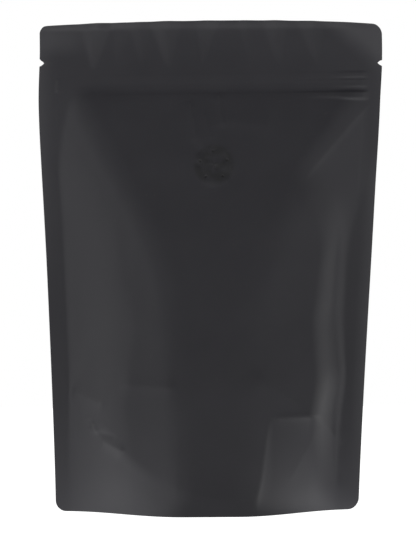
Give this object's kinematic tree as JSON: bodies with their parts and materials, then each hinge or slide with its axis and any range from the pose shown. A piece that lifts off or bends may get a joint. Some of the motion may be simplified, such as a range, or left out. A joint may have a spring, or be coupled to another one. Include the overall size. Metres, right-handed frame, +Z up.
{
  "type": "zip coffee bag",
  "caption": "Matt black stand-up film pouch, filled and shut, with a press-to-close zip, flat side seals, tear notches, a folded base and a round degassing valve.",
  "frame": {"origin": "middle of the footprint, on the surface that the pouch stands on", "axes": "+Z up; +X to the right of the front panel; -Y towards the front, where the valve is"},
  "size_m": [0.161, 0.0638, 0.2289],
  "materials": {
    "pouch_film": "matt black laminated film",
    "valve": "matt black moulded plastic"
  },
  "bodies": {
    "root": {"pouch": "pouch_film", "valve": "valve"}
  },
  "joints": []
}
